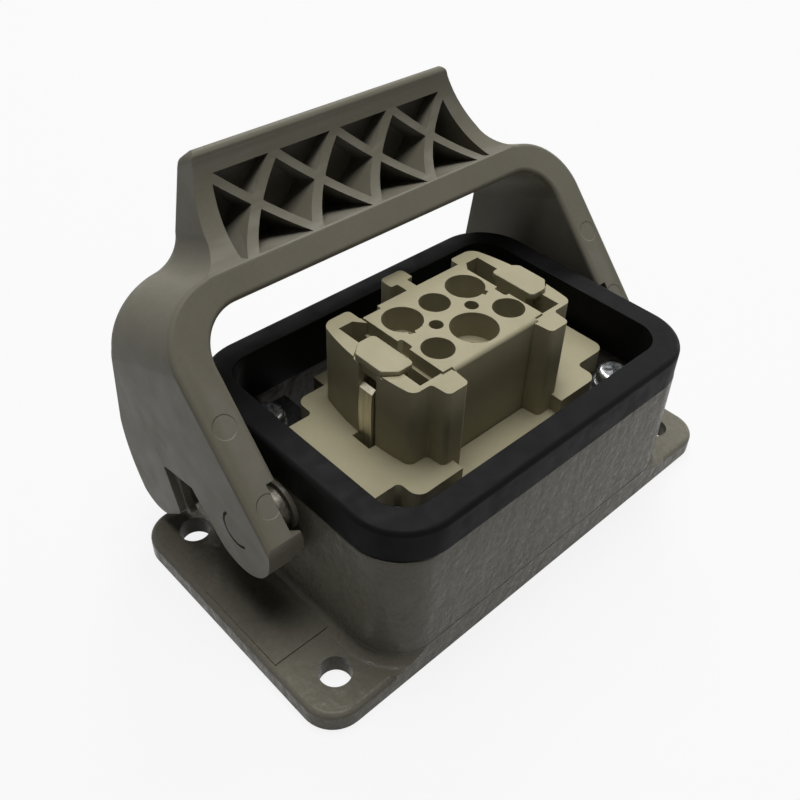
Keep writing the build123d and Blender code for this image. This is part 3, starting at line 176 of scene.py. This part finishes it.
class Surface:
    """One procedural material: colour, roughness and relief from object coordinates."""

    def __init__(self, name, metallic=0.0, specular=0.5):
        self.material = bpy.data.materials.new(name)
        self.material.use_nodes = True
        self.tree = self.material.node_tree
        self.shader = self.tree.nodes["Principled BSDF"]
        self.shader.inputs["Metallic"].default_value = metallic
        self.shader.inputs["Specular IOR Level"].default_value = specular
        self.coords = self.node("ShaderNodeTexCoord").outputs["Object"]
        self.relief = None

    def node(self, kind):
        """New shader node."""
        return self.tree.nodes.new(kind)

    def link(self, source, target):
        """Join two sockets."""
        self.tree.links.new(source, target)

    def scaled(self, size_mm, stretch=(1, 1, 1)):
        """Object coordinates in which size_mm is one unit."""
        mapping = self.node("ShaderNodeMapping")
        mapping.inputs["Scale"].default_value = [s / (size_mm * MM) for s in stretch]
        self.link(self.coords, mapping.inputs["Vector"])
        return mapping.outputs["Vector"]

    def noise(self, size_mm, detail=3.0, stretch=(1, 1, 1)):
        """Noise whose grains are about size_mm across."""
        texture = self.node("ShaderNodeTexNoise")
        texture.inputs["Scale"].default_value = 1.0
        texture.inputs["Detail"].default_value = detail
        texture.inputs["Roughness"].default_value = 0.5
        self.link(self.scaled(size_mm, stretch), texture.inputs["Vector"])
        return texture.outputs["Fac"]

    def cells(self, size_mm):
        """Smooth pebbles about size_mm across."""
        texture = self.node("ShaderNodeTexVoronoi")
        texture.feature = "SMOOTH_F1"
        texture.inputs["Scale"].default_value = 1.0
        texture.inputs["Smoothness"].default_value = PEBBLE_SMOOTH
        self.link(self.scaled(size_mm), texture.inputs["Vector"])
        return texture.outputs["Distance"]

    def tones(self, value, pair):
        """Map a noise value through two colours."""
        node = self.node("ShaderNodeValToRGB")
        for element, position, colour in zip(node.color_ramp.elements, (TONE_START, TONE_END), pair):
            element.position = position
            element.color = (*colour, 1)
        self.link(value, node.inputs["Fac"])
        return node.outputs["Color"]

    def spread(self, value, low, high, start=TONE_START, end=TONE_END):
        """Map a noise value to a range of plain numbers."""
        node = self.node("ShaderNodeMapRange")
        node.inputs["From Min"].default_value = start
        node.inputs["From Max"].default_value = end
        node.inputs["To Min"].default_value = low
        node.inputs["To Max"].default_value = high
        self.link(value, node.inputs["Value"])
        return node.outputs["Result"]

    def blend(self, factor, first, colour):
        """Mix a plain colour into a colour socket."""
        node = self.node("ShaderNodeMix")
        node.data_type = "RGBA"
        self.link(factor, node.inputs["Factor"])
        self.link(first, node.inputs["A"])
        node.inputs["B"].default_value = (*colour, 1)
        return node.outputs["Result"]

    def grained(self, pair, broad_mm, grain, grain_mm, share, detail=3.0):
        """Two broad tones with a share of fine grain in a third colour."""
        base = self.tones(self.noise(broad_mm), pair)
        fine = self.noise(grain_mm, detail)
        return self.blend(self.spread(fine, 0.0, share), base, grain)

    def bump(self, value, depth_mm, strength):
        """Add relief; calls stack."""
        node = self.node("ShaderNodeBump")
        node.inputs["Strength"].default_value = strength
        node.inputs["Distance"].default_value = depth_mm * MM
        self.link(value, node.inputs["Height"])
        if self.relief is not None:
            self.link(self.relief, node.inputs["Normal"])
        self.relief = node.outputs["Normal"]
        self.link(self.relief, self.shader.inputs["Normal"])

    def colour(self, value):
        """Set the base colour."""
        self.link(value, self.shader.inputs["Base Color"])

    def roughness(self, value):
        """Set the roughness."""
        self.link(value, self.shader.inputs["Roughness"])

    def turned(self, degrees):
        """Object coordinates about the hinge line, turned with the lever's lean."""
        mapping = self.node("ShaderNodeMapping")
        mapping.vector_type = "TEXTURE"
        mapping.inputs["Location"].default_value = (0, 0, HINGE_HEIGHT * MM)
        mapping.inputs["Rotation"].default_value = (-math.radians(degrees), 0, 0)
        self.link(self.coords, mapping.inputs["Vector"])
        return mapping.outputs["Vector"]

    def ring_mark(self, coords, place_mm, radius_mm):
        """Shallow circle left by an ejector pin, as a height."""
        distance = self.node("ShaderNodeVectorMath")
        distance.operation = "DISTANCE"
        self.link(coords, distance.inputs[0])
        distance.inputs[1].default_value = [v * MM for v in place_mm]
        inner = radius_mm * MM
        outer = (radius_mm + RING_EDGE) * MM
        return self.spread(distance.outputs["Value"], 0.0, 1.0, inner, outer)

    def edge_wear(self, base, worn):
        """Lighter colour along convex edges."""
        geometry = self.node("ShaderNodeNewGeometry")
        amount = self.spread(geometry.outputs["Pointiness"], 0.0, 1.0, WEAR_START, WEAR_END)
        patches = self.node("ShaderNodeMath")
        patches.operation = "MULTIPLY"
        self.link(amount, patches.inputs[0])
        self.link(self.noise(3.0, detail=4.0), patches.inputs[1])
        return self.blend(patches.outputs["Value"], base, worn)


def coat_surface():
    """Grey hammered lacquer on the casting."""
    s = Surface("housing_coat", specular=0.09)
    s.colour(s.grained(COAT, 11.0, COAT_GRAIN, 0.45, share=0.30, detail=2.0))
    s.roughness(s.spread(s.noise(0.9, detail=2.0), 0.18, 0.44))
    s.bump(s.cells(0.9), depth_mm=0.07, strength=0.45)
    s.bump(s.noise(1.9, detail=2.0, stretch=(1, 1, 0.55)), depth_mm=0.30, strength=0.60)
    s.bump(s.noise(0.32, detail=2.0), depth_mm=0.03, strength=0.45)
    return s.material


def lever_surface():
    """Warm grey moulded plastic with a faint sheen."""
    s = Surface("lever_plastic", specular=0.08)
    base = s.grained(LEVER, 18.0, LEVER_GRAIN, 0.5, share=0.16)
    s.colour(s.edge_wear(base, LEVER_WORN))
    s.roughness(s.spread(s.noise(4.0, detail=4.0), 0.32, 0.46))
    s.bump(s.noise(1.4), depth_mm=0.04, strength=0.30)
    s.bump(s.noise(0.35, detail=2.0), depth_mm=0.015, strength=0.30)
    frame_of_lever = s.turned(LEVER_LEAN)
    for place in EJECTOR_MARKS:
        mark = s.ring_mark(frame_of_lever, place, EJECTOR_RADIUS)
        s.bump(mark, depth_mm=0.12, strength=0.8)
    return s.material


def rubber_surface(name):
    """Black moulded rubber."""
    s = Surface(name, specular=0.055)
    s.colour(s.tones(s.noise(9.0, detail=4.0), RUBBER))
    s.roughness(s.spread(s.noise(2.5, detail=4.0), 0.42, 0.58))
    s.bump(s.noise(0.8), depth_mm=0.03, strength=0.35)
    s.bump(s.noise(3.5), depth_mm=0.05, strength=0.25)
    return s.material


def beige_surface():
    """Beige glass-filled moulding."""
    s = Surface("insert_plastic", specular=0.15)
    s.colour(s.grained(BEIGE, 7.0, BEIGE_GRAIN, 0.45, share=0.12))
    s.roughness(s.spread(s.noise(2.0), 0.42, 0.56))
    s.bump(s.noise(0.5), depth_mm=0.02, strength=0.35)
    return s.material


def metal_surface(name, pair, rough, brush=(1, 1, 1)):
    """Plated metal with fine lines or a mottled plating."""
    s = Surface(name, metallic=1.0)
    grain = s.noise(0.5, detail=4.0, stretch=brush)
    s.colour(s.tones(grain, pair))
    low = rough - METAL_ROUGHNESS_SPREAD
    high = rough + METAL_ROUGHNESS_SPREAD
    s.roughness(s.spread(s.noise(0.8, stretch=brush), low, high))
    s.bump(grain, depth_mm=0.01, strength=0.4)
    return s.material


def floor_surface():
    """Pale floor that the camera and gloss see as nearly white, with the object's shadow on it."""
    s = Surface("floor", specular=0.1)
    s.colour(s.tones(s.noise(300.0, detail=2.0), FLOOR))
    s.shader.inputs["Roughness"].default_value = FLOOR_ROUGHNESS
    white = s.node("ShaderNodeEmission")
    white.inputs["Color"].default_value = WHITE
    white.inputs["Strength"].default_value = 1.0
    share = s.node("ShaderNodeMath")
    share.operation = "MULTIPLY"
    share.inputs[1].default_value = FLOOR_WHITE
    s.link(background_rays(s.tree), share.inputs[0])
    mix = s.node("ShaderNodeMixShader")
    s.link(share.outputs["Value"], mix.inputs["Fac"])
    s.link(s.shader.outputs["BSDF"], mix.inputs[1])
    s.link(white.outputs["Emission"], mix.inputs[2])
    s.link(mix.outputs["Shader"], s.tree.nodes["Material Output"].inputs["Surface"])
    return s.material


def make_floor():
    """Large plain floor under the flange."""
    mesh = bpy.data.meshes.new("floor")
    corners = [(x * FLOOR_HALF, y * FLOOR_HALF, 0) for x, y in ((-1, -1), (1, -1), (1, 1), (-1, 1))]
    mesh.from_pydata(corners, [], [(0, 1, 2, 3)])
    floor = bpy.data.objects.new("floor", mesh)
    bpy.context.scene.collection.objects.link(floor)
    floor.location = (0, 0, -FLOOR_DROP)
    mesh.materials.append(floor_surface())


def dress(names, material):
    """Give CAD nodes a material."""
    for name in names:
        mesh = NODES[name].data
        mesh.materials.clear()
        mesh.materials.append(material)


def both(name):
    """The left and right node of a pair."""
    return [name + "_left", name + "_right"]


def make_shade_group():
    """Node group that shades faces smooth and keeps the edges sharper than EDGE_ANGLE sharp."""
    group = bpy.data.node_groups.new("shade_by_angle", "GeometryNodeTree")
    group.interface.new_socket("Geometry", in_out="INPUT", socket_type="NodeSocketGeometry")
    group.interface.new_socket("Geometry", in_out="OUTPUT", socket_type="NodeSocketGeometry")
    start = group.nodes.new("NodeGroupInput")
    smooth = group.nodes.new("GeometryNodeSetShadeSmooth")
    angle = group.nodes.new("GeometryNodeInputMeshEdgeAngle")
    sharper = group.nodes.new("ShaderNodeMath")
    sharper.operation = "GREATER_THAN"
    sharper.inputs[1].default_value = math.radians(EDGE_ANGLE)
    crease = group.nodes.new("GeometryNodeSetShadeSmooth")
    crease.domain = "EDGE"
    crease.inputs["Shade Smooth"].default_value = False
    end = group.nodes.new("NodeGroupOutput")
    group.links.new(start.outputs["Geometry"], smooth.inputs["Geometry"])
    group.links.new(angle.outputs["Unsigned Angle"], sharper.inputs[0])
    group.links.new(sharper.outputs["Value"], crease.inputs["Selection"])
    group.links.new(smooth.outputs["Geometry"], crease.inputs["Geometry"])
    group.links.new(crease.outputs["Geometry"], end.inputs["Geometry"])
    return group


def soften(name, width_mm, shade_group):
    """Small rounded edges on a CAD node, shown by modifiers only."""
    node = NODES[name]
    weld = node.modifiers.new("weld", "WELD")
    weld.merge_threshold = WELD_DISTANCE
    flat = node.modifiers.new("flat", "DECIMATE")
    flat.decimate_type = "DISSOLVE"
    flat.angle_limit = math.radians(FLAT_ANGLE)
    bevel = node.modifiers.new("edge", "BEVEL")
    bevel.width = width_mm * MM
    bevel.segments = EDGE_SEGMENTS
    bevel.limit_method = "ANGLE"
    bevel.angle_limit = math.radians(EDGE_ANGLE)
    bevel.use_clamp_overlap = True
    shade = node.modifiers.new("shade", "NODES")
    shade.node_group = shade_group
    even = node.modifiers.new("normals", "WEIGHTED_NORMAL")
    even.keep_sharp = True
    even.weight = NORMAL_WEIGHT


bpy.context.scene.view_settings.view_transform = "Standard"
make_camera()
make_world()
make_floor()
for lamp in LAMPS:
    area_light(*lamp)

moulded = ["insert_body", "contact_carrier", "contact_retainer"] + both("earth_clip")
zinc_plated = ["insert_screws", "insert_washers", "earth_screws", "earth_clamps"]
contacts = [name for name in NODES if name.startswith(("main_contact", "signal_contact"))]
dress(["housing"], coat_surface())
dress(["locking_lever"], lever_surface())
dress(["rim_gasket"], rubber_surface("seal_rubber"))
dress(["panel_seal"], rubber_surface("panel_rubber"))
dress(moulded, beige_surface())
dress(zinc_plated, metal_surface("zinc_steel", ZINC, rough=0.30))
# Earth plates get near-black steel: painted shade
dress(both("earth_plate"), metal_surface("dark_steel", PLATE_PAINTED_SHADE, rough=0.5))
dress(both("pivot_pin"), metal_surface("pin_steel", STEEL, rough=0.46))
dress(both("earth_strip"), metal_surface("strip_metal", SPRING, rough=0.40, brush=STRIP_BRUSH))
dress(contacts, metal_surface("contact_silver", SILVER, rough=0.28))

shade_group = make_shade_group()
for node_name, edge_mm in EDGE_WIDTHS.items():
    soften(node_name, edge_mm, shade_group)
